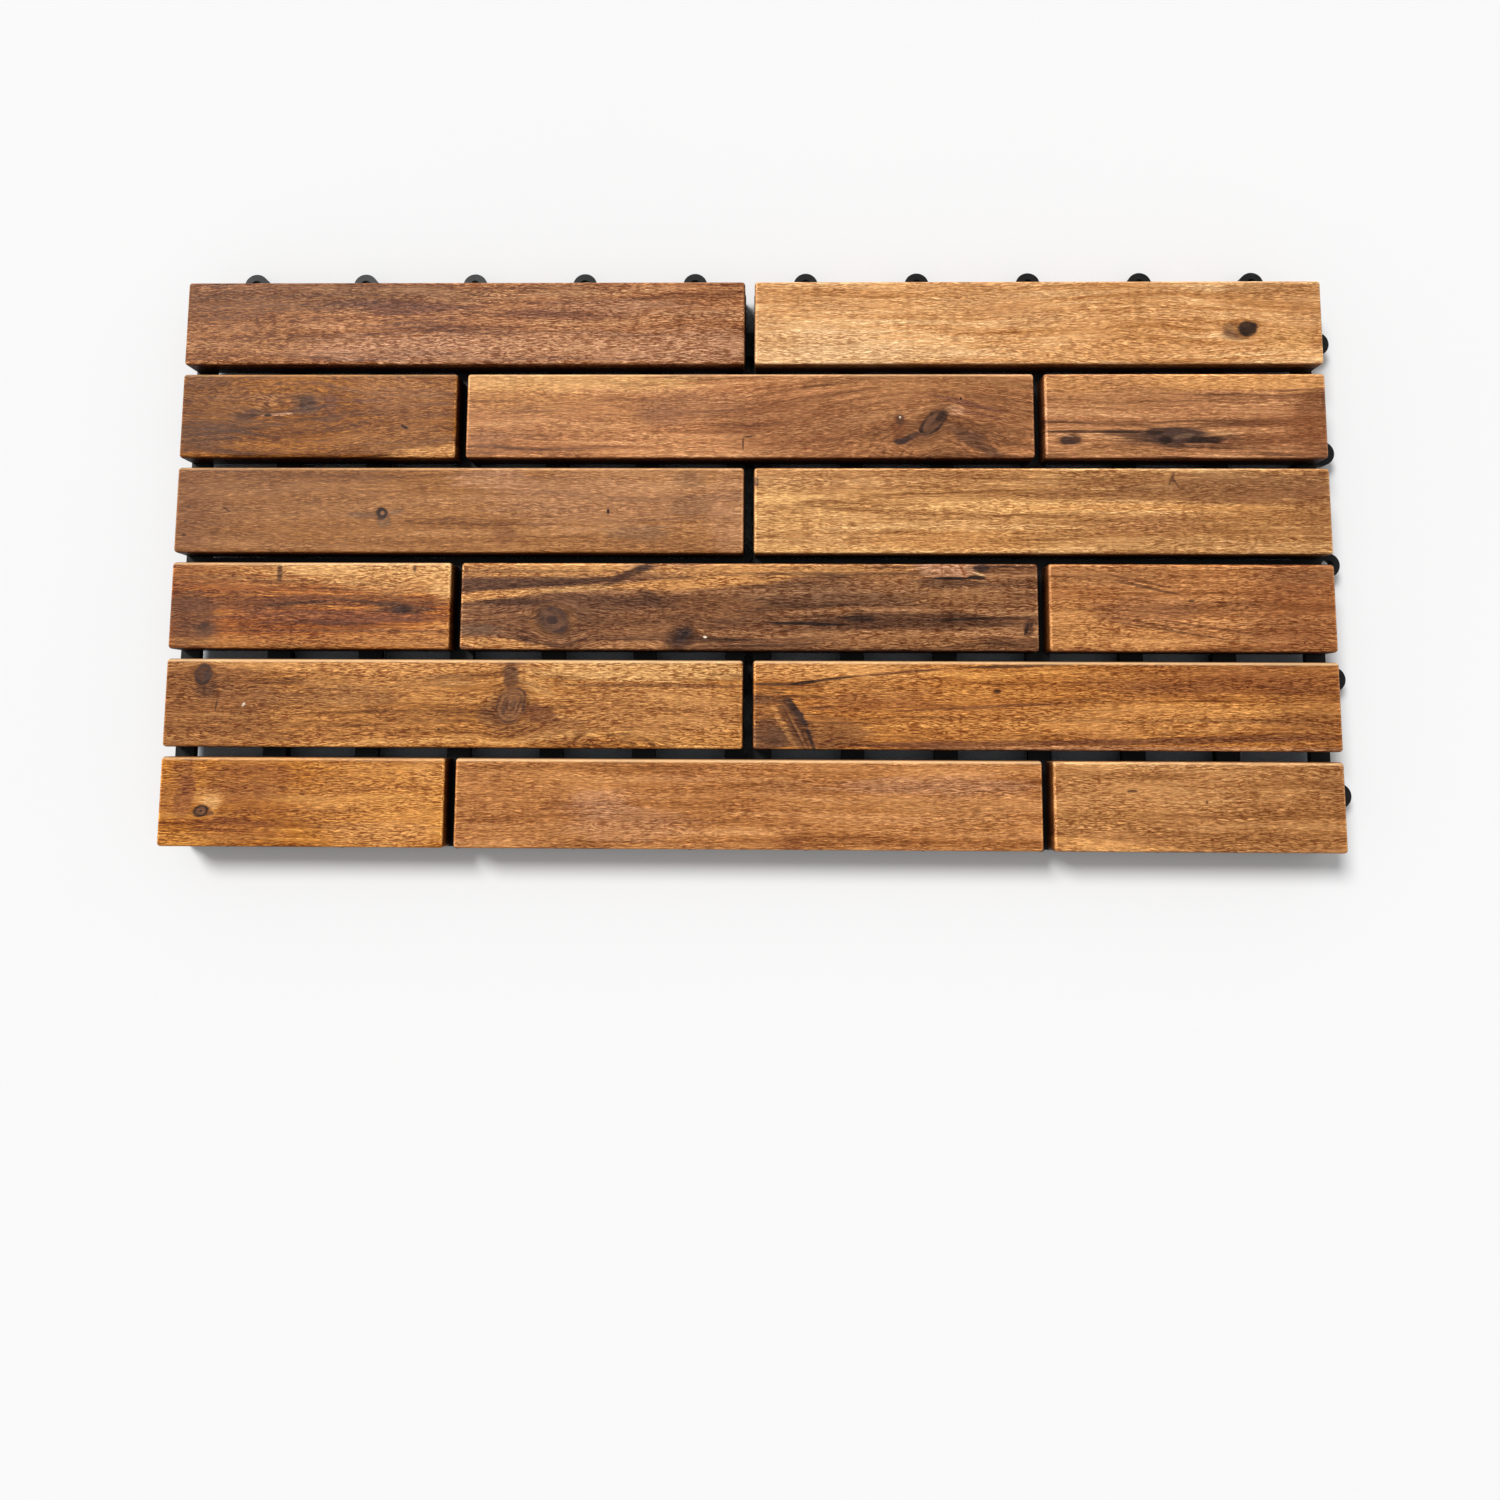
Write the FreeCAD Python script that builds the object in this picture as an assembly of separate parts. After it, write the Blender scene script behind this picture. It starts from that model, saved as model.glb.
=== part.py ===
import FreeCAD, Part
import os

# Interlocking deck tile: hardwood slats in a brick pattern, screwed from below to two moulded plastic bases.
# Sizes are in millimetres. The tile is laid out from the front left corner of the square grid that it fills,
# with X along the slats, Y towards the back row and Z up from the ground, and is then moved to its origin.

# Slats
row_count = 6
slat_width = 45.0
slat_gap = 5.0
slat_thickness = 12.0
slat_edge_radius = 1.8
slat_sole_chamfer = 0.8

# Bases
base_count = 2
base_gap = 4.4
base_corner_radius = 3.0
plate_thickness = 3.2
ground_clearance = 8.8

# Lattice of each base
column_count = 6
rim_width = 9.8
cross_bar_width = 12.0
slat_bar_width = 8.0
centre_rib_width = 4.0
opening_corner = 3.5

# Pegs that the tile stands on
peg_top_width = 5.6
peg_sole_width = 4.2
peg_depth = 5.6
corner_peg_inset = 3.4

# Pins and loops that clip neighbouring bases together
clip_pitch = 60.0
clips_per_side = 5
pin_radius = 2.6
pin_play = 0.5
loop_wall = 3.4
loop_reach = 12.0
loop_thickness = 4.2
loop_headroom = 0.3
loop_root_depth = 6.0

# Screws
screw_radius = 1.75
screw_length = 12.0
screw_point_length = 3.0
screw_hole_play = 0.25
screw_head_radius = 3.5
screw_head_height = 2.2
screw_head_bevel = 0.9
recess_length = 3.8
recess_width = 1.0
recess_depth = 1.3

# Sizes that follow from those above
row_pitch = slat_width + slat_gap
base_pitch = row_count * row_pitch
base_size = base_pitch - base_gap
tile_length = base_count * base_pitch
base_height = ground_clearance + plate_thickness
long_slat = base_pitch - slat_gap
short_slat = base_pitch / 2 - slat_gap
column_pitch = (base_size - 2 * rim_width + cross_bar_width) / column_count
opening_length = column_pitch - cross_bar_width
loop_hole_radius = pin_radius + pin_play
loop_radius = loop_hole_radius + loop_wall
loop_top = ground_clearance - loop_headroom
pin_inset = loop_reach - loop_radius - base_gap
peg_pitch = clip_pitch / 2

# The origin is the middle of the whole outline, pins and loops included, at ground level
outline_low = base_gap / 2 + pin_inset - pin_radius
outline_high_x = tile_length - base_gap / 2 + loop_reach
outline_high_y = base_pitch - base_gap / 2 + loop_reach
origin = FreeCAD.Vector((outline_low + outline_high_x) / 2, (outline_low + outline_high_y) / 2, 0)

up = FreeCAD.Vector(0, 0, 1)


def save(node, shape):
    """Move a finished shape to the tile's origin and write it as one node."""
    shape.translate(-origin)
    shape.exportStep(os.path.join("parts", node + ".step"))


def row_centre(row):
    """Y of the middle of a row of slats, counted from the front."""
    return (row + 0.5) * row_pitch


def cross_bars():
    """X of the lattice bars inside one base, from its left edge."""
    return [rim_width - cross_bar_width / 2 + index * column_pitch for index in range(1, column_count)]


def screw_bars():
    """X of the bars that take screws: all but the middle one, where two slats meet end to end."""
    return [x for x in cross_bars() if abs(x - base_size / 2) > cross_bar_width / 2]


def closed_face(points):
    """Flat face inside straight lines through the points."""
    return Part.Face(Part.makePolygon(points + points[:1]))


def octagon(x_low, x_high, y_low, y_high, corner):
    """Corner points of a rectangle with cut corners, in the plane of Z zero."""
    plan = [
        (x_low + corner, y_low), (x_high - corner, y_low), (x_high, y_low + corner), (x_high, y_high - corner),
        (x_high - corner, y_high), (x_low + corner, y_high), (x_low, y_high - corner), (x_low, y_low + corner),
    ]
    return [FreeCAD.Vector(x, y, 0) for x, y in plan]


def make_slat(x_low, length, row):
    """One slat with rounded top and corners, a slightly broken lower edge and a pilot hole for each screw."""
    corner = FreeCAD.Vector(x_low, row_centre(row) - slat_width / 2, base_height)
    slat = Part.makeBox(length, slat_width, slat_thickness, corner)
    rounded = [edge for edge in slat.Edges if edge.BoundBox.ZMax > base_height + slat_thickness / 2]
    slat = slat.makeFillet(slat_edge_radius, rounded)
    sole = [edge for edge in slat.Edges if edge.BoundBox.ZMax < base_height + slat_edge_radius / 2]
    slat = slat.makeChamfer(slat_sole_chamfer, sole)
    pilots = [screw_body(x, row) for x in screw_places() if x_low < x < x_low + length]
    return slat.cut(pilots)


def screw_places():
    """X of every screw in a row, over all the bases."""
    places = []
    for index in range(base_count):
        places += [base_left_edge(index) + x for x in screw_bars()]
    return places


def base_left_edge(index):
    """X of a base's left edge."""
    return index * base_pitch + base_gap / 2


def screw_body(x, row):
    """Shank and point of a screw, upright from the underside of the plate into the slat."""
    foot = FreeCAD.Vector(x, row_centre(row), ground_clearance)
    straight = screw_length - screw_point_length
    shank = Part.makeCylinder(screw_radius, straight, foot)
    point = Part.makeCone(screw_radius, 0, screw_point_length, foot + up * straight)
    return shank.fuse(point).removeSplitter()


def make_screw(x, row):
    """Pan-head wood screw with a cross recess, head down."""
    foot = FreeCAD.Vector(x, row_centre(row), ground_clearance)
    flat_height = screw_head_height - screw_head_bevel
    head = Part.makeCylinder(screw_head_radius, flat_height, foot - up * flat_height)
    crown = Part.makeCone(screw_head_radius - screw_head_bevel, screw_head_radius, screw_head_bevel,
                          foot - up * screw_head_height)
    recess_corner = foot - up * screw_head_height - FreeCAD.Vector(recess_length / 2, recess_width / 2, 0)
    slot = Part.makeBox(recess_length, recess_width, recess_depth, recess_corner)
    crossing_slot = slot.copy()
    crossing_slot.rotate(foot, up, 90)
    screw = screw_body(x, row).fuse([head, crown]).removeSplitter()
    return screw.cut([slot, crossing_slot])


def opening_rows():
    """Y ranges of the lattice openings in one base: between the bars under the slats, the rims and the middle rib."""
    middle = base_size / 2
    bars = [(middle - centre_rib_width / 2, middle + centre_rib_width / 2)]
    for row in range(row_count):
        centre = row_centre(row) - base_gap / 2
        bars.append((centre - slat_bar_width / 2, centre + slat_bar_width / 2))
    back_rim = (base_size - rim_width, base_size)
    openings = []
    edge = rim_width
    for low, high in sorted(bars) + [back_rim]:
        if low > edge:
            openings.append((edge, low))
        edge = max(edge, high)
    return openings


def make_plate():
    """Lattice plate of a base, with its openings and screw holes."""
    plate = Part.makeBox(base_size, base_size, plate_thickness)
    upright = [edge for edge in plate.Edges if edge.BoundBox.ZLength > plate_thickness / 2]
    plate = plate.makeFillet(base_corner_radius, upright)
    cutters = []
    for column in range(column_count):
        x_low = rim_width + column * column_pitch
        for y_low, y_high in opening_rows():
            corner = min(opening_corner, (y_high - y_low) / 3, opening_length / 3)
            outline = octagon(x_low, x_low + opening_length, y_low, y_high, corner)
            cutters.append(closed_face(outline).extrude(up * plate_thickness))
    for x in screw_bars():
        for row in range(row_count):
            middle = FreeCAD.Vector(x, row_centre(row) - base_gap / 2, 0)
            cutters.append(Part.makeCylinder(screw_radius + screw_hole_play, plate_thickness, middle))
    plate = plate.cut(cutters)
    plate.translate(up * ground_clearance)
    return plate


def make_peg(x, y, turned):
    """Peg that narrows towards the ground, as seen from the front, or from the side when turned."""
    section = closed_face([
        FreeCAD.Vector(x - peg_top_width / 2, y - peg_depth / 2, ground_clearance),
        FreeCAD.Vector(x + peg_top_width / 2, y - peg_depth / 2, ground_clearance),
        FreeCAD.Vector(x + peg_sole_width / 2, y - peg_depth / 2, 0),
        FreeCAD.Vector(x - peg_sole_width / 2, y - peg_depth / 2, 0),
    ])
    peg = section.extrude(FreeCAD.Vector(0, peg_depth, 0))
    if turned:
        peg.rotate(FreeCAD.Vector(x, y, 0), up, 90)
    return peg


def clip_stations():
    """Distances of the clips from the middle of a side."""
    return [(index - (clips_per_side - 1) / 2) * clip_pitch for index in range(clips_per_side)]


def peg_stations():
    """Distances of the rim pegs from the middle of a side: half way between the clips, and near the corners."""
    corner = base_size / 2 - corner_peg_inset
    between = [station + peg_pitch for station in clip_stations()[:-1]]
    return [-corner] + between + [corner]


def rim_pegs():
    """Pegs under the four rims."""
    middle = base_size / 2
    near = peg_depth / 2
    far = base_size - near
    pegs = []
    for station in peg_stations():
        pegs.append(make_peg(middle + station, near, False))
        pegs.append(make_peg(middle + station, far, False))
    for station in peg_stations()[1:-1]:
        pegs.append(make_peg(near, middle + station, True))
        pegs.append(make_peg(far, middle + station, True))
    return pegs


def inner_pegs():
    """Pegs under the lattice: on the cross bars between the slats, and on the slat bars between the cross bars."""
    front = base_gap / 2
    pegs = []
    for x in cross_bars():
        for row in range(row_count - 1):
            pegs.append(make_peg(x, row_centre(row) + row_pitch / 2 - front, False))
    for column in range(column_count):
        x = rim_width + column * column_pitch + opening_length / 2
        for row in range(row_count):
            pegs.append(make_peg(x, row_centre(row) - front, True))
    return pegs


def make_pin(x, y):
    """Round pin under the edge of the rim, down to the ground."""
    return Part.makeCylinder(pin_radius, ground_clearance, FreeCAD.Vector(x, y, 0))


def make_loop(station):
    """Loop that reaches out from the right rim, with the block that hangs it from the rim."""
    y = base_size / 2 + station
    low = loop_top - loop_thickness
    inner = base_size - loop_root_depth
    hole_x = base_size + loop_reach - loop_radius
    arm = Part.makeBox(hole_x - inner, 2 * loop_radius, loop_thickness, FreeCAD.Vector(inner, y - loop_radius, low))
    ring = Part.makeCylinder(loop_radius, loop_thickness, FreeCAD.Vector(hole_x, y, low))
    root = Part.makeBox(loop_root_depth, 2 * loop_radius, ground_clearance,
                        FreeCAD.Vector(inner, y - loop_radius, 0))
    hole = Part.makeCylinder(loop_hole_radius, loop_thickness, FreeCAD.Vector(hole_x, y, low))
    return arm.fuse([ring, root]).removeSplitter().cut(hole)


def mirrored_on_diagonal(shape):
    """Copy of a base feature with X and Y exchanged, which carries the right rim's features to the back rim."""
    return shape.mirror(FreeCAD.Vector(0, 0, 0), FreeCAD.Vector(1, -1, 0))


def make_base(index):
    """One moulded base."""
    middle = base_size / 2
    features = rim_pegs() + inner_pegs()
    for station in clip_stations():
        features.append(make_pin(pin_inset, middle + station))
        features.append(make_pin(middle + station, pin_inset))
        loop = make_loop(station)
        features.append(loop)
        features.append(mirrored_on_diagonal(loop))
    base = make_plate().fuse(features).removeSplitter()
    base.translate(FreeCAD.Vector(base_left_edge(index), base_gap / 2, 0))
    return base


def slat_rows():
    """Left end, length and place name of every slat in each row, from the front."""
    half_gap = slat_gap / 2
    long_rows = [(index * base_pitch + half_gap, long_slat) for index in range(base_count)]
    shifted = [(half_gap, short_slat)]
    shifted += [((index + 0.5) * base_pitch + half_gap, long_slat) for index in range(base_count - 1)]
    shifted.append((tile_length - short_slat - half_gap, short_slat))
    return [shifted if row % 2 == 0 else long_rows for row in range(row_count)]


def slat_name(row, place, count):
    """Node name of a slat, from its row and its place from the left."""
    if place == 0:
        side = "left"
    elif place == count - 1:
        side = "right"
    else:
        side = "middle"
    extra = "" if count <= 3 or side != "middle" else "_" + str(place)
    return "slat_row" + str(row + 1) + "_" + side + extra


def main():
    os.makedirs("parts", exist_ok=True)
    for row, slats in enumerate(slat_rows()):
        for place, (x_low, length) in enumerate(slats):
            save(slat_name(row, place, len(slats)), make_slat(x_low, length, row))
    for index in range(base_count):
        side = ["left", "right"][index] if base_count == 2 else str(index + 1)
        save("base_" + side, make_base(index))
    screws = [make_screw(x, row) for row in range(row_count) for x in screw_places()]
    save("screws", Part.makeCompound(screws))


main()
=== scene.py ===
import bpy
import math
from collections import namedtuple
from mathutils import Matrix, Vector


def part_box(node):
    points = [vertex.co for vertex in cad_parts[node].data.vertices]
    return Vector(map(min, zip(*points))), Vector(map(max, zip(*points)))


# Interlocking deck tile: fifteen oiled hardwood slats on two black moulded bases, lying on a pale floor.
# Everything is in metres in the frame of the CAD model. Figures in the wood are placed in millimetres
# from the left end and the front edge of their own slat.

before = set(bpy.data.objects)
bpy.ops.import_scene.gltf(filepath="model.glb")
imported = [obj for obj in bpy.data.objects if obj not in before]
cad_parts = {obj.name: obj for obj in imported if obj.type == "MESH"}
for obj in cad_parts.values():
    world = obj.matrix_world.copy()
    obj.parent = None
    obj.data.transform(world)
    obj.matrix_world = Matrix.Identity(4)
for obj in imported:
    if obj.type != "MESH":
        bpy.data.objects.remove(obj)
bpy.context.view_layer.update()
millimetre = 0.001

# Colours of the wood's figures, in sRGB
tones = {
    "soot": (44, 31, 27),
    "dark_umber": (66, 48, 42),
    "umber": (88, 57, 40),
    "cocoa": (106, 72, 52),
    "grey_brown": (116, 88, 68),
    "plum": (122, 76, 60),
    "chestnut": (128, 78, 48),
    "bister": (116, 76, 48),
    "walnut": (146, 98, 62),
    "russet": (150, 90, 52),
    "mauve_tan": (158, 110, 78),
    "ochre": (168, 112, 62),
    "tan": (186, 130, 82),
    "amber": (202, 138, 76),
    "pink_tan": (210, 157, 119),
    "golden": (226, 163, 97),
    "straw": (241, 186, 119),
    "cream": (248, 206, 154),
    "speck": (255, 236, 214),
}

# Figures: a patch lays a tone on the wood, a swirl draws rings in the grain and a knot has a heart and bark.
# Swirls and knots bend the grain round them.
Patch = namedtuple("Patch", "tone strength at reach turn", defaults=(0,))
Knot = namedtuple("Knot", "bark heart at reach turn rings", defaults=(0, 3))
Swirl = namedtuple("Swirl", "strength at reach turn rings", defaults=(0, 4))
Slat = namedtuple("Slat", "dark middle light pores figures")

# Share of painted highlight, a cream line on the back edge of the slats that show it, where the key light
# from behind catches the rounded edge
back_edge_highlights = {
    "slat_row1_left": 0.45,
    "slat_row1_middle": 0.75,
    "slat_row1_right": 0.4,
    "slat_row2_left": 0.8,
    "slat_row2_right": 0.75,
    "slat_row3_left": 0.6,
    "slat_row4_left": 0.3,
    "slat_row5_left": 0.3,
    "slat_row5_middle": 0.45,
}

# Each slat has dark, middle and light tones in sRGB, a strength of its pores, and its figures
slats = {
    "slat_row6_left": Slat((122, 72, 42), (187, 127, 82), (224, 169, 120), 1.3, [
        Patch("chestnut", 0.75, (16, 31), (30, 8)),
        Patch("tan", 0.4, (46, 14), (16, 6)),
        Patch("bister", 0.6, (75, 37), (96, 9)),
        Patch("bister", 0.35, (203, 40), (30, 5)),
        Patch("pink_tan", 0.6, (272, 9), (40, 11)),
        Patch("pink_tan", 0.35, (120, 9), (60, 8)),
        Patch("plum", 0.7, (117, 30.5), (38, 3.8)),
        Patch("plum", 0.5, (198, 27), (44, 3.4), -1),
        Patch("plum", 0.3, (272, 27), (24, 3.2)),
        Patch("pink_tan", 0.5, (224, 31.6), (44, 4)),
        Patch("plum", 0.5, (40, 31.8), (44, 1.0)),
        Patch("pink_tan", 0.5, (190, 9), (135, 10)),
        Patch("ochre", 0.4, (28, 18), (45, 22)),
        Patch("chestnut", 0.5, (150, 27.5), (4, 3)),
    ]),
    "slat_row6_right": Slat((180, 120, 64), (228, 169, 110), (248, 202, 146), 0.8, [
        Patch("straw", 0.4, (276, 13), (14, 8)),
        Patch("cream", 0.5, (28, 10), (50, 14)),
        Patch("ochre", 0.3, (190, 40), (52, 5)),
        Patch("ochre", 0.45, (268, 37), (32, 9)),
        Patch("tan", 0.4, (288, 27), (12, 12)),
        Patch("tan", 0.3, (35, 35), (35, 7)),
        Patch("amber", 0.25, (11, 14), (12, 8)),
        Patch("cream", 0.45, (72, 6), (64, 5)),
        Patch("tan", 0.45, (124, 36), (26, 8)),
        Patch("tan", 0.4, (140, 26), (22, 6)),
        Patch("ochre", 0.4, (200, 30), (2.5, 9)),
        Patch("ochre", 0.4, (247, 36), (2, 10)),
        Patch("ochre", 0.45, (272, 40), (28, 4)),
        Patch("umber", 0.6, (247.5, 18.5), (5, 4)),
        Patch("cocoa", 0.75, (249, 15.6), (7, 3)),
        Patch("umber", 0.7, (252.4, 14.6), (4.6, 1.8), -12),
        Knot("soot", "soot", (255.8, 19), (4.6, 3.8), -12, 0),
        Swirl(0.2, (205, 14), (26, 12), 0, 3),
    ]),
    "slat_row5_left": Slat((92, 52, 20), (149, 91, 38), (181, 118, 54), 0.9, [
        Patch("bister", 0.5, (10, 28), (26, 24)),
        Patch("tan", 0.4, (118, 37), (34, 7)),
        Patch("tan", 0.4, (116, 9), (34, 8)),
        Patch("tan", 0.6, (45, 29.6), (8, 4.4)),
        Patch("bister", 0.7, (42, 16.6), (17, 1.7), 6),
        Patch("ochre", 0.45, (36, 31), (28, 6)),
        Patch("mauve_tan", 0.4, (121, 29), (28, 12)),
        Swirl(0.6, (61, 28.5), (25, 13), 0, 3),
        Patch("bister", 0.7, (66, 28.6), (9, 7)),
        Patch("umber", 0.9, (66.4, 29), (5, 3.8)),
        Patch("chestnut", 0.85, (79, 28.6), (3.4, 8)),
        Patch("bister", 0.95, (34, 22.2), (9.5, 3.6), 10),
        Patch("umber", 0.7, (35, 22), (6, 1.6), 10),
        Patch("cocoa", 0.5, (14, 12), (24, 7)),
        Patch("cocoa", 0.7, (25, 16.8), (24, 0.9), 8),
        Patch("umber", 0.6, (21, 13.4), (28, 1.0), 6),
        Patch("umber", 0.5, (16, 9.4), (22, 0.9), 4),
        Patch("pink_tan", 0.9, (51, 23), (9.5, 0.7), 5),
        Patch("soot", 0.95, (46, 22.6), (2.2, 0.7)),
        Patch("soot", 0.95, (118, 16.3), (2.4, 0.8), -25),
        Patch("golden", 0.9, (131, 2.4), (22, 4), 5),
        Patch("umber", 0.7, (4, 4.1), (1.2, 0.9)),
    ]),
    "slat_row5_middle": Slat((118, 74, 46), (191, 128, 81), (220, 160, 108), 0.75, [
        Patch("walnut", 0.5, (248, 8), (14, 7)),
        Patch("golden", 0.5, (26, 35), (38, 10)),
        Patch("chestnut", 0.5, (170, 17), (42, 19)),
        Patch("straw", 0.6, (48, 40.4), (76, 5.6)),
        Patch("tan", 0.35, (45, 24), (70, 16)),
        Patch("mauve_tan", 0.5, (13, 10.5), (12, 4)),
        Patch("chestnut", 0.5, (13, 30), (13, 0.8)),
        Patch("plum", 0.4, (103, 22), (14, 7)),
        Patch("mauve_tan", 0.45, (120, 28), (30, 8)),
        Patch("walnut", 0.5, (245, 20), (70, 24)),
        Patch("tan", 0.5, (240, 40), (72, 5)),
        Swirl(0.8, (243, -2), (40, 28), 0, 9),
        Patch("soot", 0.85, (147, 11.2), (3, 0.5), 8),
        Patch("soot", 0.75, (144.3, 7.5), (0.55, 3.8)),
        Patch("chestnut", 0.9, (225.2, 15.5), (4.4, 9)),
        Patch("umber", 0.75, (225.6, 20), (2.4, 3.4)),
        Patch("dark_umber", 0.95, (225.6, 8.6), (4, 1.6)),
        Patch("cocoa", 0.85, (264, 9), (15, 4), -30),
        Patch("plum", 0.7, (260, 29), (22, 1.5), -15),
        Patch("plum", 0.6, (263, 24), (18, 1.0), -14),
        Patch("pink_tan", 0.75, (253.5, 25), (5.5, 3)),
        Patch("dark_umber", 0.9, (231, 11), (7.5, 2), 24),
        Knot("soot", "cocoa", (242.4, 18.6), (8.4, 4), 46, 1),
        Patch("soot", 0.8, (246.4, 22), (4.4, 2), 50),
        Patch("cocoa", 0.9, (225.5, 21.4), (1.9, 1.8)),
        Patch("speck", 1.0, (225.5, 21.5), (0.7, 0.7)),
        Patch("soot", 0.9, (257, 31.5), (0.6, 1.0)),
    ]),
    "slat_row5_right": Slat((106, 68, 44), (188, 129, 85), (222, 166, 115), 0.7, [
        Patch("golden", 0.5, (14, 39), (22, 6)),
        Patch("chestnut", 0.75, (140, 18), (16, 24)),
        Patch("golden", 0.75, (98, 40.8), (64, 5.8)),
        Patch("tan", 0.4, (35, 34), (36, 10)),
        Patch("russet", 0.35, (125, 16), (28, 10)),
        Patch("chestnut", 0.6, (108, 9.5), (26, 3.2)),
        Patch("cocoa", 0.9, (66, 11), (33, 5.2)),
        Patch("cocoa", 0.7, (40, 13.2), (15, 2.2)),
        Patch("dark_umber", 0.85, (67, 11.2), (18, 5)),
        Patch("soot", 0.8, (56, 13.6), (5, 1.9)),
        Patch("soot", 0.85, (61.4, 9.4), (4, 2.4)),
        Patch("soot", 0.85, (82.4, 9.9), (10, 2.2)),
        Patch("grey_brown", 0.8, (71, 11.6), (6, 1.4), 6),
        Patch("umber", 0.95, (22, 13.9), (27, 0.9)),
        Patch("soot", 0.8, (40, 13.7), (12, 0.7)),
        Patch("tan", 0.6, (36, 3.6), (28, 2.6)),
        Knot("dark_umber", "umber", (13.2, 9.6), (4.6, 2.1), 5, 0),
        Patch("pink_tan", 0.6, (10, 12), (5, 0.6), -8),
        Patch("umber", 0.5, (143.5, 31), (1.5, 5)),
    ]),
    "slat_row4_left": Slat((130, 82, 44), (167, 112, 63), (190, 135, 86), 0.7, [
        Patch("pink_tan", 0.4, (164, 39), (22, 5)),
        Patch("walnut", 0.45, (42, 22), (84, 32)),
        Patch("chestnut", 0.5, (5, 20), (15, 32)),
        Patch("tan", 0.5, (262, 8), (62, 8)),
        Patch("pink_tan", 0.3, (288, 22), (13, 24)),
        Patch("walnut", 0.55, (38, 35.5), (36, 5)),
        Patch("walnut", 0.5, (98, 40), (7, 4)),
        Patch("pink_tan", 0.3, (225, 28), (70, 16)),
        Patch("walnut", 0.5, (12, 24), (20, 24)),
        Patch("ochre", 0.5, (80, 12), (60, 8)),
        Patch("grey_brown", 0.5, (98, 19.5), (9, 2)),
        Patch("grey_brown", 0.6, (115, 21.5), (5, 1.3), 12),
        Patch("grey_brown", 0.6, (109, 16), (4, 3)),
        Knot("soot", "dark_umber", (108, 20.4), (2.6, 2.6), 0, 0),
        Patch("mauve_tan", 0.85, (108.2, 20.7), (1.3, 1.2)),
        Patch("umber", 0.8, (27, 22.5), (2.8, 0.5), -35),
        Patch("umber", 0.7, (7, 24), (1.6, 0.8)),
        Patch("umber", 0.7, (6, 16), (1.2, 0.8)),
        Patch("umber", 0.8, (5.5, 9), (1.2, 0.9)),
        Patch("soot", 1.0, (225, 21.8), (0.8, 1.4)),
        Patch("chestnut", 0.5, (172, 9.5), (7, 6)),
        Patch("grey_brown", 0.5, (241, 10.6), (18, 4)),
        Patch("grey_brown", 0.35, (267, 39), (10, 5)),
        Patch("grey_brown", 0.3, (267, 23.6), (12, 5)),
    ]),
    "slat_row4_right": Slat((134, 84, 44), (204, 148, 91), (236, 185, 124), 0.85, [
        Patch("walnut", 0.5, (190, 31), (17, 4)),
        Patch("walnut", 0.4, (156, 31), (16, 4)),
        Patch("straw", 0.5, (16, 19), (32, 9)),
        Patch("golden", 0.5, (104, 6), (46, 7)),
        Patch("ochre", 0.55, (200, 7), (34, 6)),
        Patch("tan", 0.75, (206, 15), (36, 5)),
        Patch("walnut", 0.8, (250, 33.5), (56, 9)),
        Patch("chestnut", 0.35, (270, 31), (30, 6)),
        Patch("chestnut", 0.5, (287, 25), (13, 21)),
        Patch("ochre", 0.45, (266, 12), (48, 16)),
        Patch("straw", 0.75, (9, 29.5), (24, 5)),
        Patch("tan", 0.5, (56, 39.5), (90, 7)),
        Patch("walnut", 0.5, (226, 37.6), (96, 7.5)),
        Patch("straw", 0.75, (128, 24.4), (50, 3.8)),
        Patch("golden", 0.65, (200, 24), (80, 2)),
        Patch("straw", 0.75, (28, 1.8), (52, 3)),
        Patch("ochre", 0.3, (19, 21.8), (11, 4.5)),
        Patch("ochre", 0.4, (23, 8), (10, 4)),
        Patch("umber", 0.8, (1.3, 37.5), (1.4, 3)),
        Patch("umber", 0.7, (214, 39), (0.9, 4.6), -25),
        Patch("umber", 0.7, (216, 37.4), (0.7, 3.2), 30),
        Patch("umber", 0.7, (215, 38), (1.1, 1.1)),
    ]),
    "slat_row3_left": Slat((106, 57, 27), (178, 104, 47), (228, 153, 77), 1.05, [
        Patch("russet", 0.45, (8, 38), (14, 8)),
        Patch("russet", 0.5, (40, 31), (20, 4)),
        Patch("golden", 0.4, (116, 6), (18, 5)),
        Patch("chestnut", 0.65, (8, 13), (20, 20)),
        Patch("cocoa", 0.5, (14, 7), (13, 7)),
        Patch("straw", 0.45, (120, 36), (30, 9)),
        Patch("straw", 0.8, (144, 37), (13, 13)),
        Patch("golden", 0.4, (142, 7), (14, 9)),
        Patch("straw", 0.9, (120, 42), (88, 7.4)),
        Patch("amber", 0.5, (36, 40), (24, 6)),
        Patch("golden", 0.4, (98, 36), (62, 5)),
        Patch("ochre", 0.4, (16, 38), (22, 6)),
        Patch("chestnut", 0.75, (35, 24), (52, 5.4)),
        Patch("chestnut", 0.7, (95, 25.3), (52, 3.8)),
        Patch("plum", 0.55, (85, 17), (60, 4)),
        Patch("cocoa", 0.8, (120, 21), (17, 3.4)),
        Patch("dark_umber", 0.85, (119.7, 20.6), (6.2, 2)),
        Patch("umber", 0.85, (63, 23.4), (20, 1.0), 4),
        Patch("umber", 0.7, (104, 24.2), (24, 0.8), -5),
        Patch("cocoa", 0.5, (10, 20), (16, 9)),
        Patch("chestnut", 0.75, (88, 9.3), (62, 0.9)),
        Patch("amber", 0.55, (80, 3.5), (78, 4.6)),
        Patch("umber", 0.8, (56.3, 39), (1.6, 5.5)),
        Patch("umber", 0.75, (126, 41.8), (1.1, 2.4)),
        Patch("cocoa", 0.7, (19, 10), (6, 4.4), 15),
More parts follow.
